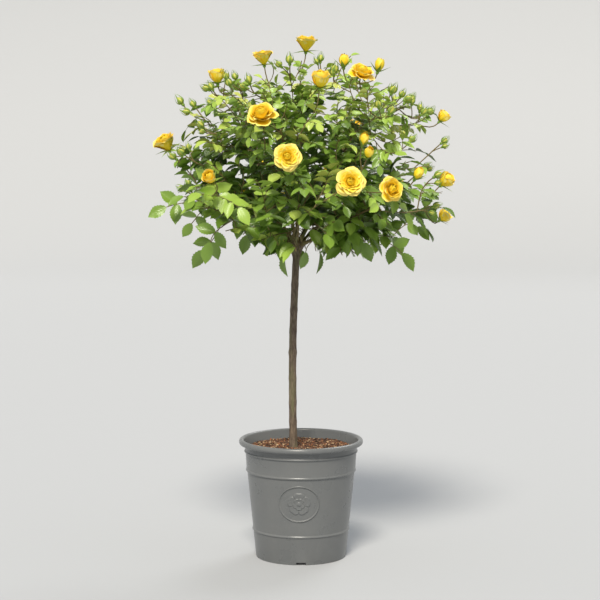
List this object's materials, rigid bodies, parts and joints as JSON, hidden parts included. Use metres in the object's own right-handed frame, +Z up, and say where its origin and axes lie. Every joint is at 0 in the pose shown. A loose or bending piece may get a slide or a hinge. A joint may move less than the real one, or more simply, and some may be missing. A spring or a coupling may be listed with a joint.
{
  "type": "standard rose",
  "caption": "Standard rose: a clear straight stem with a round bushy head of leaves, yellow blooms and buds, growing in a tapered round pot with a rolled rim.",
  "frame": {"origin": "centre of the pot's flat underside, where it stands on the ground", "axes": "+Z up along the pot's axis; -Y is the front, the side with the raised rosette; +X to the right seen from the front"},
  "size_m": [0.5955, 0.5911, 0.9981],
  "materials": {
    "pot": "satin moulded grey",
    "soil": "moist bark compost",
    "trunk": "grey-brown rose bark",
    "boughs": "green-brown young bark",
    "foliage": "glossy leaves with yellow blooms"
  },
  "bodies": {
    "root": {"pot": "pot", "soil": "soil", "trunk": "trunk", "bough_low_1": "boughs", "bough_low_2": "boughs", "bough_low_3": "boughs", "bough_low_4": "boughs", "bough_low_5": "boughs", "bough_low_6": "boughs", "bough_low_7": "boughs", "bough_high_1": "boughs", "bough_high_2": "boughs", "bough_high_3": "boughs", "bough_high_4": "boughs", "bough_high_5": "boughs", "bough_top": "boughs", "foliage_low_1": "foliage", "foliage_low_2": "foliage", "foliage_low_3": "foliage", "foliage_low_4": "foliage", "foliage_low_5": "foliage", "foliage_low_6": "foliage", "foliage_low_7": "foliage", "foliage_high_1": "foliage", "foliage_high_2": "foliage", "foliage_high_3": "foliage", "foliage_high_4": "foliage", "foliage_high_5": "foliage", "foliage_top": "foliage"}
  },
  "joints": []
}
